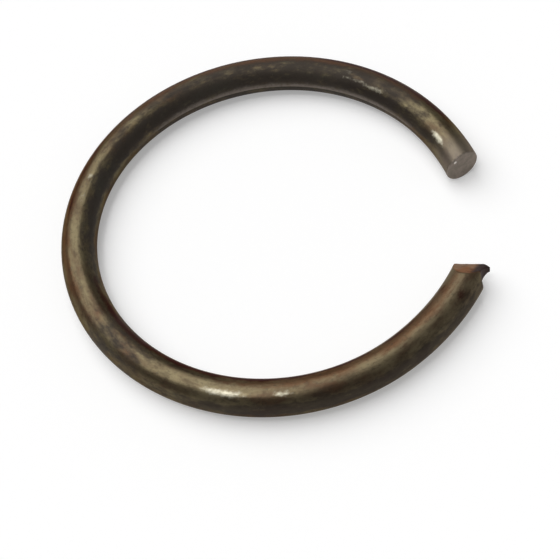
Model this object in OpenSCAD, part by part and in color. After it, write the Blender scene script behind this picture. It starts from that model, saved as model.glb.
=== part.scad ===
// Gudgeon pin clip: a round-wire snap ring that springs into the groove at
// the end of a piston's pin bore and keeps the gudgeon pin from walking out.
//
// One length of spring wire is bent into an open ring and cut off its coil.
// The cutter leaves one end flush, and pinches the other end to a blunt wedge
// with a spur at its outer corner. Both ends have sprung a little straighter
// than the rest of the ring, the pinched end over a longer stretch.
//
// Frame: millimetres. The origin is the ring's centre at the middle of the
// wire, +Z is the ring's axis and +X points out through the mouth. The flush
// end is on the +Y side of the mouth and the pinched end on the -Y side.

/* [Ring] */
// Diameter of the round spring wire
wire_d = 2; // [1.4:0.1:2.6]
// Outside diameter of the ring when it lies free
free_od = 24; // [20:0.5:36]
// Mouth between the two ends, across the wire's centreline
mouth = 6.7; // [5:0.1:9]

/* [Straighter ends] */
// How much larger the bend radius is on the straighter stretches
easing = 2.5; // [0.5:0.1:5]
// Length of the straighter stretch at the pinched end
pinched_stretch = 6.5; // [2:0.1:9]
// Length of the straighter stretch at the flush end
flush_stretch = 3.2; // [1:0.1:6]

/* [Pinched end] */
// Angle between each pinched face and the wire's axis
pinch_angle = 37; // [30:1:60]
// Width of the blunt land between the two pinched faces
pinch_land = 0.16; // [0.08:0.01:0.3]
// Lean of the land, which leaves the outer side of the wire longer
pinch_lean = 20; // [0:1:25]
// Distance along the land from the wire's middle to the broken corner
corner_at = 0.52; // [0.3:0.02:0.8]
// Slope of the broken corner, back from the land
corner_slope = 43; // [20:1:70]

/* [Cutter's nick] */
// Depth of the nick that the cutter left in the wire's outer side
nick_depth = 0.36; // [0.1:0.02:0.5]
// Length of the nick, along the wire
nick_length = 1.15; // [0.6:0.05:1.6]
// Distance from the wire's end to the middle of the nick
nick_setback = 0.52; // [0.3:0.02:1.5]

/* [Flush end] */
// Lean of the flush cut, which leaves the inner side of the wire longer
flush_lean = 10; // [0:1:15]
// Width of the broken edge round the flush cut
flush_bevel = 0.12; // [0.05:0.01:0.25]

/* [Hidden] */
$fn = 96;

wire_r = wire_d / 2;
ring_r = free_od / 2 - wire_r;
end_r = ring_r + easing;

// Both ends are bent this much too long, so that their cuts can lean.
spare = wire_r / 2;
// A cutter reaches well past the wire on every side that it clears.
cutter = 3 * wire_d;
// The pinched faces run this far back where they leave the cutter.
pinch_back = (cutter - pinch_land) / 2 / tan(pinch_angle);
// A round scoop of this radius cuts the nick to its depth and length.
nick_r = (pow(nick_length / 2, 2) + pow(nick_depth, 2)) / (2 * nick_depth);
// The leaning cut is a little wider than the wire that it cuts.
flush_r = wire_r / cos(flush_lean);

// The angle that a length of wire turns through on a bend of this radius.
function turn(length, radius) = length / radius * 180 / PI;

// A straighter stretch is tangent to the ring where it starts, and ends half
// a mouth from the X axis. This is the angle on the ring that it starts from.
function start(length) =
    let(sweep = turn(length, end_r))
    let(run = end_r * sin(sweep))
    let(rise = end_r * cos(sweep) - easing)
    asin(mouth / 2 / norm([rise, run])) + atan2(run, rise);

// A stretch of the wire, bent to one radius about the Z axis from angle 0.
module bend(radius, sweep) {
    rotate_extrude(angle = sweep)
        translate([radius, 0])
            circle(d = wire_d);
}

// Turns to the angle where a straighter stretch of the -Y side starts.
module at_start(length) {
    rotate([0, 0, -start(length)])
        children();
}

// Places its children where that stretch ends: +X is outwards from the
// wire's middle, and +Y points along the wire, out into the mouth.
module at_end(length) {
    at_start(length)
        translate([-easing, 0, 0])
            rotate([0, 0, turn(length, end_r)])
                translate([end_r, 0, 0])
                    children();
}

// A straighter stretch of the -Y side, with spare wire at its end.
module straighter(length) {
    at_start(length)
        translate([-easing, 0, 0])
            bend(end_r, turn(length + spare, end_r));
}

// All that lies past the start of such a stretch, on the mouth's side.
module past_start(length) {
    at_start(length)
        translate([-free_od, 0, -cutter / 2])
            cube([2 * free_od, free_od, cutter]);
}

// The whole wire as it is bent, before its ends are cut. The ring stops
// where the straighter stretches start, and shares one section with each.
module bent_wire() {
    difference() {
        bend(ring_r, 360);
        intersection() {
            past_start(pinched_stretch);
            mirror([0, 1, 0])
                past_start(flush_stretch);
        }
    }
    straighter(pinched_stretch);
    mirror([0, 1, 0])
        straighter(flush_stretch);
}

// What the two jaws push away: all beyond two faces that slope back along
// the wire from the edges of a blunt land. The land leans across the wire.
module pinch_cut() {
    rotate([90, 0, 90])
        linear_extrude(cutter, center = true)
            polygon([
                [0, pinch_land / 2],
                [-pinch_back, cutter / 2],
                [cutter / 2, cutter / 2],
                [cutter / 2, -cutter / 2],
                [-pinch_back, -cutter / 2],
                [0, -pinch_land / 2]
            ]);
}

// The outer corner of the land has broken off along a slope.
module corner_cut() {
    translate([corner_at, 0, 0])
        rotate([0, 0, -corner_slope])
            translate([-cutter / 2, 0, -cutter / 2])
                cube(cutter);
}

// A round scoop out of the wire's outer side. What stands between it and
// the broken corner is the spur.
module nick() {
    translate([wire_r - nick_depth + nick_r, -nick_setback, 0])
        cylinder(r = nick_r, h = cutter, center = true);
}

// The flush cut takes off what stands past a leaning plane, and the edge of
// the face that it leaves is broken all round.
module flush_cut() {
    rotate([0, 0, -flush_lean]) {
        translate([-cutter / 2, 0, -cutter / 2])
            cube(cutter);
        rotate([90, 0, 0])
            difference() {
                cylinder(r = cutter, h = flush_bevel);
                cylinder(r1 = flush_r - flush_bevel, r2 = flush_r, h = flush_bevel);
            }
    }
}

module gudgeon_pin_clip() {
    color("#453b2c")
        difference() {
            bent_wire();
            at_end(pinched_stretch) {
                rotate([0, 0, pinch_lean])
                    pinch_cut();
                rotate([0, 0, pinch_lean])
                    corner_cut();
                nick();
            }
            mirror([0, 1, 0])
                at_end(flush_stretch)
                    flush_cut();
        }
}

gudgeon_pin_clip();
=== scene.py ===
# %% [markdown]
# # A gudgeon pin clip, looked at closely
# This is a snap ring of round spring wire. It sits in a groove at the end of
# a piston's pin bore and keeps the pin from walking out. The wire is drawn
# through a die, blackened in oil, coiled, and cut off its coil, and each of
# those steps has left something to see. The frame below is the CAD model. Its
# size and its place are kept, and one detailed wire takes the solid's place.

# %% Load the frame and keep its box
import math

import bmesh
import bpy
from mathutils import Matrix, Vector, noise


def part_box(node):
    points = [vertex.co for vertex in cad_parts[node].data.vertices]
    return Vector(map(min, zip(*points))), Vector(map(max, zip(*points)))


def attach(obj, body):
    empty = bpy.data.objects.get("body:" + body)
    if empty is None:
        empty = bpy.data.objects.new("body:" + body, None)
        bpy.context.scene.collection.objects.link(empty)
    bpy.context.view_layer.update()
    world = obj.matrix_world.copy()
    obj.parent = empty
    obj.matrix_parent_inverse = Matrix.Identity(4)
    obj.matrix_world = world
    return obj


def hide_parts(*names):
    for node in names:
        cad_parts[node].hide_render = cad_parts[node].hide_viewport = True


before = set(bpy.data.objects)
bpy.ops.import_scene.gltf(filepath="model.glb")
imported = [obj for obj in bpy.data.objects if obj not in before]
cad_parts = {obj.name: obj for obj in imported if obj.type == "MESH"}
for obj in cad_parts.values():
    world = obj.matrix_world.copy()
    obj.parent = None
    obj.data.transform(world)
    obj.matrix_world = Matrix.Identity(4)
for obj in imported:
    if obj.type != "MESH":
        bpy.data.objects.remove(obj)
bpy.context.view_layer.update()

MM = 0.001
clip_low, clip_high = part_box("gudgeon_pin_clip")
print("the CAD clip reaches, in mm, from", [round(v / MM, 2) for v in clip_low],
      "to", [round(v / MM, 2) for v in clip_high])

# %% [markdown]
# ## The wire's own measures
# A maker would give this clip as a wire, a free diameter and a mouth. The two
# ends have sprung a little straighter than the ring, so the bend has three
# parts, each one tangent to the next. All lengths here are in millimetres, as
# on the maker's drawing, and they are the ones the CAD model was built from.

# %% Measures of the wire and its bend
WIRE_R = 1.0
RING_R = 11.0
EASING = 2.5
END_R = RING_R + EASING
MOUTH = 6.7
PINCHED_STRETCH = 6.5
FLUSH_STRETCH = 3.2


def stretch_start(length):
    """The angle on the ring where a straighter stretch of this length starts."""
    sweep = length / END_R
    run = END_R * math.sin(sweep)
    rise = END_R * math.cos(sweep) - EASING
    return math.asin(MOUTH / 2 / math.hypot(run, rise)) + math.atan2(run, rise)


FLUSH_START = stretch_start(FLUSH_STRETCH)
PINCHED_START = stretch_start(PINCHED_STRETCH)
RING_LENGTH = RING_R * (2 * math.pi - FLUSH_START - PINCHED_START)
WIRE_LENGTH = FLUSH_STRETCH + RING_LENGTH + PINCHED_STRETCH
print("the wire is", round(WIRE_LENGTH, 2), "mm long before it is bent")

# %% [markdown]
# ## The straight wire
# The clip could be spun as a ring and cut. It is made the way the real one
# is, though: a straight wire first, with its ends shaped, and the bend last.
# Then every scratch of the die and every stain can be laid along the straight
# wire, and it follows the bend with no seam. A cone whose two radii are equal
# is Blender's cylinder.

# %% Draw the straight wire, along Y
ROUND_STEPS = 96
wire = bmesh.new()
bmesh.ops.create_cone(wire, cap_ends=True, cap_tris=False, segments=ROUND_STEPS,
                      radius1=WIRE_R, radius2=WIRE_R, depth=WIRE_LENGTH)
bmesh.ops.rotate(wire, verts=wire.verts, matrix=Matrix.Rotation(math.radians(-90), 3, "X"))
bmesh.ops.translate(wire, verts=wire.verts, vec=(0, WIRE_LENGTH / 2, 0))
print("the cylinder has", len(wire.verts), "points, all at its two ends")

# %% [markdown]
# Cuts across the wire give it stations along its length, where it can bend,
# and more of them where the cutter has shaped the ends.

# %% Cut stations along the wire
STATIONS = 259
END_ZONE = 2.4       # both ends are shaped over this length, in mm
PINCHED_CUTS = 5     # more cuts between two stations of the pinched end
FLUSH_ZONE = 1.0
FLUSH_CUTS = 2
NEAR = 1e-4          # two places closer than this are the same place


def runs_along(edge):
    """True for an edge that runs along the wire and not round it."""
    one, two = edge.verts
    return abs(one.co.y - two.co.y) > 2 * (one.co - two.co).xz.length


def add_stations(low, high, cuts):
    """Cuts every edge that runs along the wire between two places on it."""
    edges = [e for e in wire.edges
             if runs_along(e) and all(low <= v.co.y <= high for v in e.verts)]
    bmesh.ops.subdivide_edges(wire, edges=edges, cuts=cuts, use_grid_fill=True)


add_stations(-NEAR, WIRE_LENGTH + NEAR, STATIONS)
add_stations(WIRE_LENGTH - END_ZONE, WIRE_LENGTH + NEAR, PINCHED_CUTS)
add_stations(-NEAR, FLUSH_ZONE, FLUSH_CUTS)
print("the straight wire has", len(wire.verts), "points")

# %% [markdown]
# ## The flush end
# One jaw of the cutter leaves this end almost square. It leans ten degrees,
# with the inner side of the wire the longer one, and its edge is slightly
# broken all round. A leaning plane could cut it, but the cut would leave the
# face as one polygon with a hard rim. A bevel of the rim gives the broken
# edge here, and insets give the face points of its own.

# %% Bevel the rim of the flush end
FLUSH_BEVEL = 0.12
FACE_RINGS = 6
RING_WIDTH = 0.13


def cap_at(place):
    """The flat face that closes the wire at this place on it."""
    return min((f for f in wire.faces if len(f.verts) == ROUND_STEPS),
               key=lambda f: abs(f.calc_center_median().y - place))


flush_cap = cap_at(0)
bmesh.ops.bevel(wire, geom=list(flush_cap.edges), offset=FLUSH_BEVEL, offset_type="OFFSET",
                affect="EDGES", segments=4, profile=0.5, material=-1, clamp_overlap=True)
flush_cap = cap_at(0)
for _ in range(FACE_RINGS):
    bmesh.ops.inset_region(wire, faces=[flush_cap], thickness=RING_WIDTH, use_even_offset=True)
    flush_cap = cap_at(0)
inner_width = 2 * flush_cap.verts[0].co.xz.length
bmesh.ops.poke(wire, faces=[flush_cap])
print("inside its rings the flush face is", round(inner_width, 2), "mm wide")

# %% [markdown]
# A sheared face isn't flat. It is sunk a little from a third of the way in,
# and its torn grain is at its full height from a sixth of the way in. The lean
# fades out along the wire behind the face, so that the stations stay even.

# %% Dish the flush face and lean it
FLUSH_LEAN = math.radians(10)
FACE_DISH = 0.02
FACE_GRAIN = 0.014
GRAINS_PER_MM = 3
GRAIN_SLICE = 7.0    # each rough place reads its own slice of the noise


def fade(distance, reach):
    """1 at no distance, falling smoothly to 0 at the reach."""
    t = min(max(distance / reach, 0.0), 1.0)
    return 1 - t * t * (3 - 2 * t)


for v in wire.verts:
    if v.co.y < END_ZONE:
        back = v.co.y
        inward = max(0.0, 1 - v.co.xz.length / (WIRE_R - FLUSH_BEVEL))
        if back < NEAR:
            grain = noise.noise(Vector((v.co.x * GRAINS_PER_MM, GRAIN_SLICE,
                                        v.co.z * GRAINS_PER_MM)))
            v.co.y += FACE_DISH * min(inward * 3, 1) + FACE_GRAIN * grain * min(inward * 6, 1)
        v.co.y += v.co.x * math.tan(FLUSH_LEAN) * fade(back, END_ZONE)
furthest = min(v.co.y for v in wire.verts)
print("on its inner side the flush end reaches", round(-furthest, 2), "mm past the middle")

# %% [markdown]
# ## The pinched end
# The other end was pinched off between two jaws, which is the form that tells
# this clip from any other ring. Two faces slope to a thin blunt land. The
# land leans across the wire, its outer corner has broken off, and a round
# nick in the outer side leaves a small spur standing. A boolean would cut it,
# but it leaves long thin triangles and hard edges. Here the stations near
# the end are leaned to the land's line, pressed to the two slopes, and pushed
# in to the nick, so the mesh stays even and its edges can be slightly soft.

# %% Measures of the pinched end
PINCH_SLOPE = math.tan(math.radians(37))
PINCH_LAND = 0.16
PINCH_LEAN = math.radians(20)
CORNER_AT = 0.52
CORNER_SLOPE = math.tan(math.radians(43))
NICK_DEPTH = 0.36
NICK_LENGTH = 1.15
NICK_SETBACK = 0.52
NICK_R = ((NICK_LENGTH / 2) ** 2 + NICK_DEPTH ** 2) / (2 * NICK_DEPTH)
NICK_X = WIRE_R - NICK_DEPTH + NICK_R
SPUR_TORN = 0.55     # the spur is torn this much thinner than the slopes leave it
SPUR_TIP = 0.95      # how far out from the wire's middle it is thinnest
SPUR_REACH = 0.4     # and over what width it thins
print("the nick is a scoop of", round(NICK_R, 2), "mm radius")

# %% The lines that the end is pressed to
LAND_SOFT, SLOPE_SOFT, NICK_SOFT = 0.04, 0.05, 0.03      # widths of the soft edges
LAND_UNEVEN, WAVES_PER_MM, LAND_SLICE = 0.02, 4, 3.0


def lower_of(one, two, softness):
    """The smaller of two values, with a round passage from one to the other."""
    gap = max(softness - abs(one - two), 0.0) / softness
    return min(one, two) - gap * gap * softness / 4


def end_line(x):
    """How far the end reaches past the wire's middle, at this place across it."""
    lean_sin, lean_cos = math.sin(PINCH_LEAN), math.cos(PINCH_LEAN)
    corner = x * (lean_sin - lean_cos * CORNER_SLOPE) + CORNER_AT * CORNER_SLOPE
    corner /= lean_cos + lean_sin * CORNER_SLOPE
    uneven = LAND_UNEVEN * noise.noise(Vector((x * WAVES_PER_MM, LAND_SLICE, 0.0)))
    return lower_of(x * math.tan(PINCH_LEAN), corner, LAND_SOFT) + uneven


def nick_wall(y):
    """How far out the nick lets the wire reach, at this place along it."""
    inside = NICK_R ** 2 - (y + NICK_SETBACK) ** 2
    if inside <= 0:
        return 2 * WIRE_R
    return NICK_X - math.sqrt(inside)


print("on its outer side the end stops", round(-end_line(WIRE_R), 2), "mm short of the middle")

# %% Pinch the end
FACE_ROUGH, BUMPS_PER_MM = 0.012, 5
ROUGH_STARTS = 0.25      # the faces are fully rough from this far behind the land
UPPER_SLICE, LOWER_SLICE = 0.7, 5.3


def pinch(v):
    """Moves one point of the straight wire to its place on the pinched end."""
    x, z = v.co.x, v.co.z
    back = WIRE_LENGTH - v.co.y
    y = end_line(x) * fade(back, END_ZONE) - back
    cut_back = max(x * math.sin(PINCH_LEAN) - y * math.cos(PINCH_LEAN), 0.0)
    torn = 1 - SPUR_TORN * fade(SPUR_TIP - x, SPUR_REACH)
    slope = PINCH_LAND / 2 + cut_back * PINCH_SLOPE * torn
    rough = noise.noise(Vector((x * BUMPS_PER_MM, y * BUMPS_PER_MM,
                                UPPER_SLICE if z > 0 else LOWER_SLICE)))
    slope += FACE_ROUGH * rough * min(cut_back / ROUGH_STARTS, 1)
    if abs(z) > NEAR:
        z = math.copysign(lower_of(abs(z), slope, SLOPE_SOFT), z)
    if x > 0:
        x = lower_of(x, nick_wall(y), NICK_SOFT)
    v.co = (x, WIRE_LENGTH + y, z)


pinched_cap = cap_at(WIRE_LENGTH)
rim = list(pinched_cap.verts)
bmesh.ops.delete(wire, geom=[pinched_cap], context="FACES_ONLY")
for v in wire.verts:
    if v.co.y > WIRE_LENGTH - END_ZONE:
        pinch(v)
print("the land is", round(2 * max(v.co.z for v in rim), 2), "mm thick at most")

# %% [markdown]
# The land between the two slopes is closed by bridging the upper half of the
# rim to the lower half, which gives a clean strip of quads. What is left open
# is one small gap at each side, and those are filled.

# %% Close the land
upper = [e for e in wire.edges if e.is_boundary and all(v.co.z > NEAR for v in e.verts)]
lower = [e for e in wire.edges if e.is_boundary and all(v.co.z < -NEAR for v in e.verts)]
bmesh.ops.bridge_loops(wire, edges=upper + lower)
left = [e for e in wire.edges if e.is_boundary]
if left:
    bmesh.ops.holes_fill(wire, edges=left, sides=8)
print("open edges left on the wire:", sum(e.is_boundary for e in wire.edges))

# %% [markdown]
# ## What each part of the wire remembers
# A finish like this could be painted by hand on an unwrapped skin. Here each
# point of the straight wire stores its own place, so that every pattern can
# run along the wire, and a few numbers that say what has happened to it
# there: how much oil has burnt on, where handling has thinned the oxide, and
# where it is rubbed bare or rusted. Others say where shade, glints and
# reflections are painted into its colour.

# %% Where the finish changes along the wire
# Pairs of a place along the wire in mm and an amount, read as a line.
BURNT_ALONG = [(0, 0.1), (2.5, 0.4), (6, 0.75), (10, 0.85), (18, 0.8), (23, 0.65),
               (27.5, 0.35), (31, 0.1), (36, 0.2), (38.5, 0.7), (40.5, 0.6),
               (43.5, 0.2), (50, 0.25), (63, 0.0)]
WORN_ALONG = [(0, 0.2), (3, 0.1), (6, 0.0), (41, 0.0), (46, 0.25), (56, 0.4), (63, 0.8)]


def between(pairs, at):
    """Reads an amount off a line drawn through pairs of place and amount."""
    for (low, start), (high, end) in zip(pairs, pairs[1:]):
        if at <= high:
            return start + (end - start) * max(at - low, 0) / (high - low)
    return pairs[-1][1]


print("10 mm from the flush end the burnt oil covers", between(BURNT_ALONG, 10))

# %% Marks on the skin
# Each mark: its place along the wire in mm, its angle round the wire in
# degrees (0 is the ring's outer side and 90 its top), half its length and
# half its width in mm, and how strong it is.
MARKS = {
    # Rubbed bare spots, partly wear and partly painted glints: pale steel where the light
    # glints on the wire.
    "rubbed_bare_and_glint": [
        (1.9, 125, 0.6, 0.17, 0.95), (7.5, 125, 0.7, 0.12, 0.65), (8.8, 120, 0.9, 0.1, 0.45),
        (9.4, 100, 0.22, 0.12, 0.45), (27.8, 90, 0.35, 0.14, 0.4), (29.4, 92, 0.3, 0.12, 0.35),
        (46.1, 67, 1.1, 0.2, 0.8), (49.1, 70, 0.45, 0.17, 0.6)],
    # Painted shade: the burnt oil mark darkens the wire's inner side, turned from the light.
    "burnt_oil_and_shade": [(21, 140, 17, 0.74, 1.0)],
    # Dark lines along the wire's rims: partly rust, partly a painted dark reflection.
    "rust_and_dark_reflection": [
        (7, 54, 5.5, 0.3, 1.0), (17, 56, 6, 0.16, 0.7), (27, 56, 6, 0.16, 0.7),
        (43.5, 134, 9, 0.32, 1.0), (55, 130, 6, 0.16, 0.8), (57, 96, 3, 0.08, 0.3),
        (60, 66, 0.45, 0.26, 0.6)],
    "brown_side": [(15, 64, 13, 0.4, 0.8), (30, 52, 8, 0.4, 0.8), (54, 115, 9, 0.5, 0.9)],
    # Painted shade: darker bands on the sides of the wire turned from the light.
    "painted_shade": [(52.5, 18, 11, 0.55, 0.9), (5.5, 148, 4.5, 0.45, 0.9)],
    # Painted reflection: pale grey on the inner lower side, where the wire faces the white
    # card.
    "painted_card_reflection": [(13, 186, 11, 0.4, 0.9)],
}
# A painted glint, a pale fleck on the flush face: out and up from the wire's middle, and size.
GLINT_X, GLINT_Z, GLINT_SIZE = -0.45, 0.62, 0.11


def marked(marks, along, round_angle):
    """How strong the strongest of these marks is at a place on the wire's skin."""
    most = 0.0
    for at, angle, half_long, half_wide, strength in marks:
        aside = math.radians(round_angle - angle) * WIRE_R / half_wide
        ahead = (along - at) / half_long
        most = max(most, strength * math.exp(-(aside ** 2 + ahead ** 4)))
    return most


print("marks on the wire:", {name: len(marks) for name, marks in MARKS.items()})

# %% Store it all on the points
CUT_STAIN, CUT_REACH = 0.55, 3.0     # how grey the skin is behind the flush cut, and how far
FACE_SKIN = 0.06                     # a point this close to the flush face is on it
PRESSED_IN = 0.08                    # a point pressed in this far is on a pinched face
SPUR_STAIN = 0.45                    # the spur's colour comes in over this width

place_layer = wire.verts.layers.float_vector.new("wire_place")
memory = {name: wire.verts.layers.float.new(name) for name in (
    "worn_oxide", "fresh_cut", "pinched_face", "spur", "painted_glint", *MARKS)}
for v in wire.verts:
    v[place_layer] = v.co
    x, along, z = v.co
    for name, marks in MARKS.items():
        v[memory[name]] = marked(marks, along, math.degrees(math.atan2(z, x)))
    # The burnt oil along the wire and the painted shade on its inner side share one amount.
    v[memory["burnt_oil_and_shade"]] = max(v[memory["burnt_oil_and_shade"]], between(BURNT_ALONG, along))
    v[memory["worn_oxide"]] = between(WORN_ALONG, along)
    v[memory["fresh_cut"]] = CUT_STAIN * fade(along, CUT_REACH)
    if along < FLUSH_ZONE and along - x * math.tan(FLUSH_LEAN) < FACE_SKIN:
        v[memory["fresh_cut"]] = 1.0
        v[memory["rubbed_bare_and_glint"]] = 0.0
        # The painted glint: a pale fleck on the flush face.
        to_glint = math.hypot(x - GLINT_X, z - GLINT_Z) / GLINT_SIZE
        v[memory["painted_glint"]] = math.exp(-to_glint ** 2)
    if along > WIRE_LENGTH - END_ZONE:
        pressed = math.sqrt(max(WIRE_R ** 2 - x ** 2, 0)) - abs(z)
        v[memory["pinched_face"]] = min(max(pressed / PRESSED_IN, 0), 1)
        v[memory["spur"]] = v[memory["pinched_face"]] * (1 - fade(x, SPUR_STAIN))
print("each of", len(wire.verts), "points remembers", ", ".join(memory))

# %% [markdown]
# ## The bend
# The straight wire is now wound: each point keeps its distance from the
# wire's middle and is carried round on the radius of its own stretch. The
# outer side stretches and the inner side shrinks, as real wire does. A curve
# modifier could bend it too, but a formula keeps each radius exact.

# %% Where a point comes to after the bend


def bent(place):
    """Where a place on the straight wire comes to after the bend."""
    out, along, up = place
    if along < FLUSH_STRETCH:
        turn = (FLUSH_STRETCH - along) / END_R
        flat = Vector((-EASING + (END_R + out) * math.cos(turn),
                       -(END_R + out) * math.sin(turn)))
        flat.rotate(Matrix.Rotation(FLUSH_START, 2))
    elif along < FLUSH_STRETCH + RING_LENGTH:
        turn = FLUSH_START + (along - FLUSH_STRETCH) / RING_R
        flat = Vector(((RING_R + out) * math.cos(turn), (RING_R + out) * math.sin(turn)))
    else:
        turn = (along - FLUSH_STRETCH - RING_LENGTH) / END_R
        flat = Vector((-EASING + (END_R + out) * math.cos(turn),
                       (END_R + out) * math.sin(turn)))
        flat.rotate(Matrix.Rotation(-PINCHED_START, 2))
    return Vector((flat.x, flat.y, up))


open_gap = (bent((0, 0, 0)) - bent((0, WIRE_LENGTH, 0))).length
print("after the bend the mouth is", round(open_gap, 2), "mm, and", MOUTH, "is wanted")

# %% Bend the wire into the clip
for v in wire.verts:
    v.co = bent(v.co) * MM
bmesh.ops.recalc_face_normals(wire, faces=wire.faces)
for f in wire.faces:
    f.smooth = True

clip_mesh = bpy.data.meshes.new("spring_wire_clip")
wire.to_mesh(clip_mesh)
wire.free()
clip = bpy.data.objects.new("spring_wire_clip", clip_mesh)
bpy.context.scene.collection.objects.link(clip)
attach(clip, "root")
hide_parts("gudgeon_pin_clip")
print("the clip has", sum(len(p.vertices) - 2 for p in clip_mesh.polygons), "triangles")

# %% [markdown]
# ## Helpers for the finish
# Colours are written as a painter or a web page gives them, in sRGB hex. The
# renderer counts in linear light, so one function turns them. A second one
# adds any node with its settings and links, and gives back its output.

# %% Colours and nodes


def srgb(code):
    """An sRGB hex colour as the linear colour that a shader takes."""
    parts = [int(code[i:i + 2], 16) / 255 for i in (1, 3, 5)]
    return [p / 12.92 if p <= 0.04045 else ((p + 0.055) / 1.055) ** 2.4 for p in parts] + [1.0]


def node(tree, kind, links=None, output=0, **settings):
    """Adds a node with its settings, values and links. Gives back an output."""
    made = tree.nodes.new(kind)
    for name, value in settings.items():
        setattr(made, name, value)
    for socket, value in (links or {}).items():
        if isinstance(value, bpy.types.NodeSocket):
            tree.links.new(value, made.inputs[socket])
        else:
            made.inputs[socket].default_value = value
    return made.outputs[output] if made.outputs else None


print("mid grey in linear light:", round(srgb("#808080")[0], 3))

# %% [markdown]
# ## Oil-blackened spring steel
# Spring wire is drawn from high-carbon steel, and the coiled clip is
# blackened in hot oil. The oxide is a thin skin, brown where it is thick,
# olive where it is thin, and nearly black where oil has burnt on. It is
# smooth, so the wire shows one soft bright line along it, and the burnt part
# is dull. The die has left faint lines along the wire. The finish could be
# one colour with some noise. It is built up in layers here, most of them
# something that has happened to the steel, in the order it happened. Some
# layers are painted light: shade on the sides turned from the light, dark
# reflection lines along the rims, a pale reflection of the card, and glints.

# %% Patterns, each with its real size
steel = bpy.data.materials.new("oil-blackened spring steel")
steel.use_nodes = True
tree = steel.node_tree
tree.nodes.clear()

# Width of one patch in mm, how many times longer it is along the wire, and
# the detail and coarseness of its edge. Real pits are about 0.05 mm wide and
# real die lines 0.02 mm: both are drawn wider here, so that they show.
PATTERNS = {"stain": (1.1, 2.5, 4.0, 0.65), "blotch": (0.45, 2.5, 4.0, 0.7),
            "pit": (0.16, 1.3, 2.0, 0.6), "die_line": (0.14, 33.0, 2.0, 0.5)}

place = node(tree, "ShaderNodeAttribute", output="Vector", attribute_name="wire_place")
pattern = {}
for name, (width, longer, detail, coarseness) in PATTERNS.items():
    drawn_out = node(tree, "ShaderNodeMapping", {"Vector": place, "Scale": (1, 1 / longer, 1)})
    pattern[name] = node(tree, "ShaderNodeTexNoise", {
        "Vector": drawn_out, "Scale": 1 / width, "Detail": detail, "Roughness": coarseness})
happened = {name: node(tree, "ShaderNodeAttribute", output="Fac", attribute_name=name)
            for name in memory}
print("patterns:", ", ".join(pattern))

# %% [markdown]
# A layer shows where its pattern, or what the wire remembers, is high enough.
# Adding the two gives a remembered place a ragged edge, because a pattern
# stays between about 0.3 and 0.7. The layers go on from the oldest to the
# newest: oxide first, then oil and rust, with painted shade and painted
# reflections among them, then the cuts and bare steel, and painted glints.

# %% Layers of the finish
# What the wire remembers, the pattern, where the layer starts and where it
# is full, how much it covers, and its colour.
LAYERS = [
    (None, "stain", 0.34, 0.66, 1.0, "#6a614a"),            # thin olive oxide
    ("worn_oxide", "stain", 0.6, 1.4, 1.0, "#71654f"),      # thinned by handling
    (None, "stain", 0.46, 0.3, 0.4, "#573c2c"),             # redder, where it is thick
    (None, "blotch", 0.46, 0.7, 0.6, "#3c3228"),            # thicker blotches
    ("burnt_oil_and_shade", "blotch", 0.9, 1.4, 1.0, "#39332d"),      # oil burnt on, and painted shade on the inner side
    ("burnt_oil_and_shade", "stain", 1.35, 1.65, 0.5, "#3f3d36"),     # where it has flaked
    ("brown_side", "blotch", 0.7, 1.4, 0.7, "#664630"),     # browner along one side of the wire
    ("rust_and_dark_reflection", "blotch", 0.8, 1.3, 1.0, "#3d211a"),      # dark rust, and painted dark reflection lines
    ("painted_shade", "blotch", 0.7, 1.3, 0.8, "#2b2521"),          # painted shade, on sides turned from the light
    ("painted_card_reflection", "blotch", 0.7, 1.35, 0.8, "#857b72"),     # painted reflection of the white card
    (None, "pit", 0.5, 0.8, 0.5, "#251f1b"),                # pits, dark
    (None, "blotch", 0.45, 0.27, 0.25, "#6f6449"),          # worn peaks, paler
    ("pinched_face", None, 0.1, 0.9, 1.0, "#875a38"),       # pinched and torn
    ("pinched_face", "blotch", 1.42, 1.62, 0.7, "#53392a"),   # with dark flakes
    ("pinched_face", "stain", 1.4, 1.56, 0.6, "#947a62"),   # and cleaner patches
    ("spur", None, 0.0, 1.0, 1.0, "#2f1f1b"),               # the spur, burnt dark
    ("fresh_cut", None, 0.0, 1.0, 1.0, "#7d746a"),          # sheared grey steel
    ("fresh_cut", "blotch", 1.4, 1.6, 0.6, "#978b81"),      # with brighter grains
    ("rubbed_bare_and_glint", "pit", 0.62, 1.5, 1.0, "#b3ae9b"),      # bare steel, and painted glints
    ("painted_glint", None, 0.25, 0.7, 1.0, "#f2ede6"),        # a painted glint, pale
]

print("the finish has", len(LAYERS), "layers over the oxide")

# %% Lay each layer over the ones before it
# A Mix node of colours takes its share at socket 0 and its two colours at 6
# and 7, and gives the colour at its output 2.
skin = srgb("#524435")
amount = {}
for event, spread, start, full, most, colour in LAYERS:
    value = happened[event] if event else pattern[spread]
    if event and spread:
        value = node(tree, "ShaderNodeMath", {0: value, 1: pattern[spread]}, operation="ADD")
    covers = node(tree, "ShaderNodeMapRange", {
        "Value": value, "From Min": start, "From Max": full, "To Max": most},
        interpolation_type="SMOOTHSTEP")
    skin = node(tree, "ShaderNodeMix", {0: covers, 6: skin, 7: srgb(colour)},
                output=2, data_type="RGBA")
    amount.setdefault(event, covers)
print("with its colour laid, the steel has", len(tree.nodes), "nodes")

# %% [markdown]
# Oxide on steel still shines like metal. Where the oil has burnt on, where shade is painted,
# and where the steel is freshly cut, it is duller and less like metal. The painted glint on
# the flush face is not metal at all. The bump is faint, with the die lines running along the
# wire.

# %% How dull the steel is
ROUGH_BASE, ROUGH_BLOTCH, ROUGH_DULL = 0.28, 0.12, 0.24
METAL_BASE, METAL_LOST = 0.9, 0.5

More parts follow.
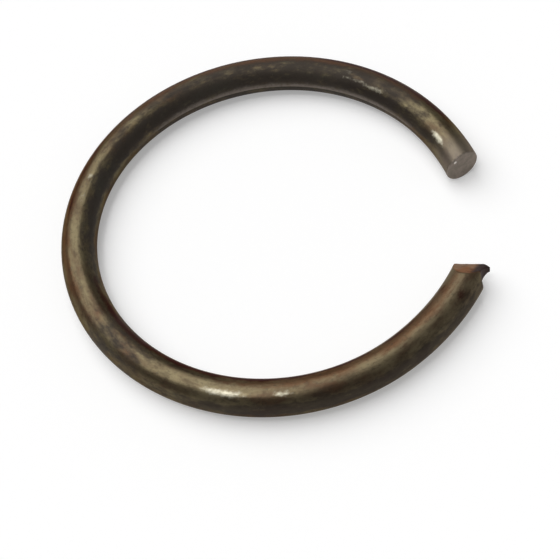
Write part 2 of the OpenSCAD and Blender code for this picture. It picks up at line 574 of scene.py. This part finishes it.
dull = amount["burnt_oil_and_shade"]
for event, duller in (("fresh_cut", 0.6), ("worn_oxide", 0.5), ("painted_shade", 0.8),
                      ("pinched_face", 0.6), ("painted_glint", 1.8)):
    part = node(tree, "ShaderNodeMath", {0: amount[event], 1: duller}, operation="MULTIPLY")
    dull = node(tree, "ShaderNodeMath", {0: dull, 1: part}, operation="MAXIMUM")
rough = node(tree, "ShaderNodeMath", {0: pattern["blotch"], 1: ROUGH_BLOTCH, 2: ROUGH_BASE},
             operation="MULTIPLY_ADD")
rough = node(tree, "ShaderNodeMath", {0: dull, 1: ROUGH_DULL, 2: rough},
             operation="MULTIPLY_ADD")
metal = node(tree, "ShaderNodeMath", {0: dull, 1: -METAL_LOST, 2: METAL_BASE},
             operation="MULTIPLY_ADD")
print("smooth steel is metallic by", METAL_BASE, "and dull steel by", METAL_BASE - METAL_LOST)

# %% Relief, and the finished steel
RELIEF = 0.03        # depth of the whole relief, in mm
FINE_RELIEF = 0.5    # share of the pits and the die lines in it

relief = pattern["blotch"]
for name in ("pit", "die_line"):
    relief = node(tree, "ShaderNodeMath", {0: pattern[name], 1: FINE_RELIEF, 2: relief},
                  operation="MULTIPLY_ADD")
bump = node(tree, "ShaderNodeBump", {"Height": relief, "Strength": 0.4,
                                     "Distance": RELIEF * MM})
surface = node(tree, "ShaderNodeBsdfPrincipled", {
    "Base Color": skin, "Metallic": metal, "Roughness": rough, "Normal": bump,
    "Specular Tint": srgb("#b3a9a0")})
node(tree, "ShaderNodeOutputMaterial", {"Surface": surface})
clip_mesh.materials.append(steel)
print("the steel's finish has", len(tree.nodes), "nodes")

# %% [markdown]
# ## Floor and light
# The clip lies flat on white card, far larger than the clip. A white world
# could stand in for it, but it would hold no shadow. What the camera and the
# steel see of the card is lifted a little towards pure white through Light
# Path, and the shadow stays.

# %% Lay the floor
FLOOR_HALF = 2.0     # in metres
floor_shape = bmesh.new()
bmesh.ops.create_grid(floor_shape, x_segments=1, y_segments=1, size=FLOOR_HALF)
bmesh.ops.translate(floor_shape, verts=floor_shape.verts, vec=(0, 0, -WIRE_R * MM))
floor_mesh = bpy.data.meshes.new("white_card")
floor_shape.to_mesh(floor_mesh)
floor_shape.free()
floor = bpy.data.objects.new("white_card", floor_mesh)
bpy.context.scene.collection.objects.link(floor)
print("the card is", 2 * FLOOR_HALF, "m square, at", round(-WIRE_R * MM, 4), "m")

# %% Make the card matt white
CARD_WHITE = 0.75
CARD_LIFT = 0.3

card = bpy.data.materials.new("matt white card")
card.use_nodes = True
tree = card.node_tree
tree.nodes.clear()
seen = node(tree, "ShaderNodeLightPath", output="Is Camera Ray")
for ray in ("Is Glossy Ray", "Is Transmission Ray"):
    other = node(tree, "ShaderNodeLightPath", output=ray)
    seen = node(tree, "ShaderNodeMath", {0: seen, 1: other}, operation="MAXIMUM")
lift = node(tree, "ShaderNodeMath", {0: seen, 1: CARD_LIFT}, operation="MULTIPLY")
matt = node(tree, "ShaderNodeBsdfDiffuse", {"Color": (CARD_WHITE, CARD_WHITE, CARD_WHITE, 1)})
glow = node(tree, "ShaderNodeEmission", {"Strength": lift})
both = node(tree, "ShaderNodeAddShader", {0: matt, 1: glow})
node(tree, "ShaderNodeOutputMaterial", {"Surface": both})
floor_mesh.materials.append(card)
print("the card reflects", CARD_WHITE, "of its light and shows", CARD_LIFT, "more")

# %% [markdown]
# A round bright wire shows its lights as lines, so their size matters more
# than their number. A broad soft window behind on the left gives the wide
# bright line and the soft shadow. A wide, weak lamp overhead evens the top,
# and a small one above sharpens the shadow close to the wire. Suns light the
# clip and the card evenly. With the grey room they add up to a little under 1
# on the card, so that a colour renders about as it is written.

# %% Hang the lights


def hang(name, azimuth, elevation, spread, strength):
    """Hangs a soft light far off. Angles in degrees. Gives back its light on the card."""
    lamp = bpy.data.lights.new(name, "SUN")
    lamp.angle = math.radians(spread)
    lamp.energy = strength
    holder = bpy.data.objects.new(name, lamp)
    bpy.context.scene.collection.objects.link(holder)
    az, el = math.radians(azimuth), math.radians(elevation)
    source = Vector((math.sin(az) * math.cos(el), -math.cos(az) * math.cos(el), math.sin(el)))
    holder.rotation_euler = source.to_track_quat("Z", "Y").to_euler()
    return strength * math.sin(el) / math.pi


# The lights are placed round the clip from about where the camera stands.
CAMERA_AZIMUTH = 9.4
from_lamps = hang("broad_window", CAMERA_AZIMUTH - 136, 58, spread=68, strength=2.15)
from_lamps += hang("lamp_overhead", CAMERA_AZIMUTH - 175, 70, spread=36, strength=0.1)
from_lamps += hang("small_lamp_above", CAMERA_AZIMUTH - 50, 74, spread=14, strength=0.38)
print("light from the lamps on the card:", round(from_lamps, 3))

# %% Paint the room
# The room is grey, with a pale band up to this sine of its height above level,
# so that a low view still has a pale background past the edge of the card.
WALL_TOP = 0.16
WALL_FADE = 0.1      # the band fades to grey over this much of the height

world = bpy.data.worlds.new("grey_room")
bpy.context.scene.world = world
world.use_nodes = True
tree = world.node_tree
tree.nodes.clear()
room = srgb("#7c7c7c")
sky = node(tree, "ShaderNodeTexCoord", output="Generated")
height = node(tree, "ShaderNodeSeparateXYZ", {"Vector": sky}, output="Z")
above_wall = node(tree, "ShaderNodeMapRange", {
    "Value": height, "From Min": WALL_TOP - WALL_FADE, "From Max": WALL_TOP},
    interpolation_type="SMOOTHSTEP")
walls = node(tree, "ShaderNodeMix", {0: above_wall, 6: srgb("#e6e6e6"), 7: room},
             output=2, data_type="RGBA")
air = node(tree, "ShaderNodeBackground", {"Color": walls, "Strength": 1.0})
node(tree, "ShaderNodeOutputWorld", {"Surface": air})
print("light on the card, with the room's:", round(from_lamps + room[0], 3))

# %% [markdown]
# ## The camera
# The clip is seen from above and in front, from close by, so its near side
# looks larger than its far side. The camera is also rolled, which tips the
# mouth down to the right. Its place and the point it looks at are in mm.

# %% Set the camera
CAMERA_ROLL = -10.82
CAMERA_LENS = 99.27
LOOKS_AT = Vector((0.36, -3.73, 0.0))
EYE = Vector((8.25, -49.84, 69.45))

camera_data = bpy.data.cameras.new("camera")
camera_data.lens = CAMERA_LENS
camera_data.sensor_width = 36
camera_data.clip_start = MM
camera = bpy.data.objects.new("camera", camera_data)
bpy.context.scene.collection.objects.link(camera)
forward = (LOOKS_AT - EYE).normalized()
level = forward.cross(Vector((0, 0, 1))).normalized()
upright = level.cross(forward)
roll = math.radians(CAMERA_ROLL)
right = math.cos(roll) * level + math.sin(roll) * upright
up = math.cos(roll) * upright - math.sin(roll) * level
facing = Matrix((right, up, -forward)).transposed().to_4x4()
camera.matrix_world = Matrix.Translation(EYE * MM) @ facing
bpy.context.scene.camera = camera
bpy.context.scene.view_settings.view_transform = "Standard"
print("the camera stands", round((EYE - LOOKS_AT).length, 1), "mm off")

# %% Update the scene
bpy.context.view_layer.update()
